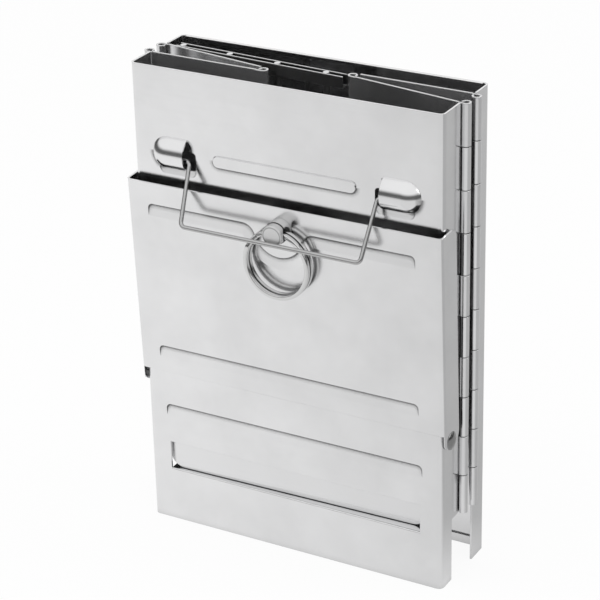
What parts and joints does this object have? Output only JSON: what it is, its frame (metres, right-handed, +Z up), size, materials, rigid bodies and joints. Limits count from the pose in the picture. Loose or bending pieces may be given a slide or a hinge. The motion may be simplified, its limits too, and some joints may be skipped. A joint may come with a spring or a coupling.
{
  "type": "folding camping wood stove",
  "caption": "Sheet steel wood stove folded flat for carrying, with a drop-down feed door, a wire bail, a knob with a split ring, and a loose hearth plate and cooking grid inside.",
  "frame": {"origin": "middle of the back panel's bottom edge, half way through its sheet", "axes": "+Z up, +X to the right seen from the front, +Y towards the back; the door is on the -Y side"},
  "size_m": [0.1473, 0.0538, 0.209],
  "materials": {
    "panel_steel": "polished",
    "leaf_steel": "polished",
    "plate_steel": "satin",
    "door_steel": "polished",
    "rivet_steel": "satin",
    "knob_steel": "machined",
    "ring_steel": "polished",
    "wire_steel": "polished",
    "pin_steel": "satin",
    "grid_steel": "satin"
  },
  "bodies": {
    "back": {"back_panel": "panel_steel", "rear_ledge": "leaf_steel", "right_rear_pin": "pin_steel", "left_rear_pin": "pin_steel"},
    "right_rear_leaf": {"right_rear_leaf": "leaf_steel", "right_centre_pin": "pin_steel"},
    "right_front_leaf": {"right_front_leaf": "leaf_steel", "right_front_pin": "pin_steel"},
    "left_rear_leaf": {"left_rear_leaf": "leaf_steel", "left_centre_pin": "pin_steel"},
    "left_front_leaf": {"left_front_leaf": "leaf_steel", "left_front_pin": "pin_steel"},
    "front": {"front_panel": "panel_steel", "door_rivets": "rivet_steel", "door_washers": "rivet_steel"},
    "door": {"door": "door_steel", "door_knob": "knob_steel", "knob_washer": "rivet_steel"},
    "ring": {"split_ring": "ring_steel"},
    "bail": {"bail": "wire_steel"},
    "hearth": {"hearth_plate": "plate_steel"},
    "cooking_grid": {"upper_grid_rail": "grid_steel", "lower_grid_rail": "grid_steel", "grid_rods": "grid_steel"}
  },
  "joints": [
    {"name": "right_rear_hinge", "type": "hinge", "parent": "back", "child": "right_rear_leaf", "pos_m": [0.07125, -0.0141, 0.12], "axis": [0, 0, 1], "range_deg": [0, 90.8]},
    {"name": "right_centre_hinge", "type": "hinge", "parent": "right_rear_leaf", "child": "right_front_leaf", "pos_m": [0.01726, -0.01335, 0.12], "axis": [0, 0, 1], "range_deg": [-171.61, 0]},
    {"name": "right_front_hinge", "type": "hinge", "parent": "right_front_leaf", "child": "front", "pos_m": [0.07056, -0.02198, 0.12], "axis": [0, 0, 1], "range_deg": [0, 80.81]},
    {"name": "left_rear_hinge", "type": "hinge", "parent": "back", "child": "left_rear_leaf", "pos_m": [-0.07125, -0.0141, 0.12], "axis": [0, 0, 1], "range_deg": [-80.81, 0]},
    {"name": "left_centre_hinge", "type": "hinge", "parent": "left_rear_leaf", "child": "left_front_leaf", "pos_m": [-0.01794, -0.02273, 0.12], "axis": [0, 0, 1], "range_deg": [0, 171.61]},
    {"name": "door_hinge", "type": "hinge", "parent": "front", "child": "door", "pos_m": [-0.00069, -0.03398, 0.0683], "axis": [1, 0, 0], "range_deg": [-2.4, 80]},
    {"name": "ring_swing", "type": "hinge", "parent": "door", "child": "ring", "pos_m": [0.00001, -0.04665, 0.15093], "axis": [-1, 0, 0], "range_deg": [-2.5, 23]},
    {"name": "bail_swing", "type": "hinge", "parent": "front", "child": "bail", "pos_m": [-0.00069, -0.04038, 0.1712], "axis": [-1, 0, 0], "range_deg": [0, 147]},
    {"name": "hearth_lift", "type": "slide", "parent": "front", "child": "hearth", "axis": [0, 0, 1], "range_m": [0, 0.185]},
    {"name": "grid_lift", "type": "slide", "parent": "back", "child": "cooking_grid", "axis": [0, 0, 1], "range_m": [0, 0.185]}
  ],
  "couplings": [
    {"joint": "right_centre_hinge", "follows": "right_rear_hinge", "ratio": -1.8899},
    {"joint": "right_front_hinge", "follows": "right_rear_hinge", "ratio": 0.88987},
    {"joint": "left_rear_hinge", "follows": "right_rear_hinge", "ratio": -0.88987},
    {"joint": "left_centre_hinge", "follows": "right_rear_hinge", "ratio": 1.8899}
  ]
}
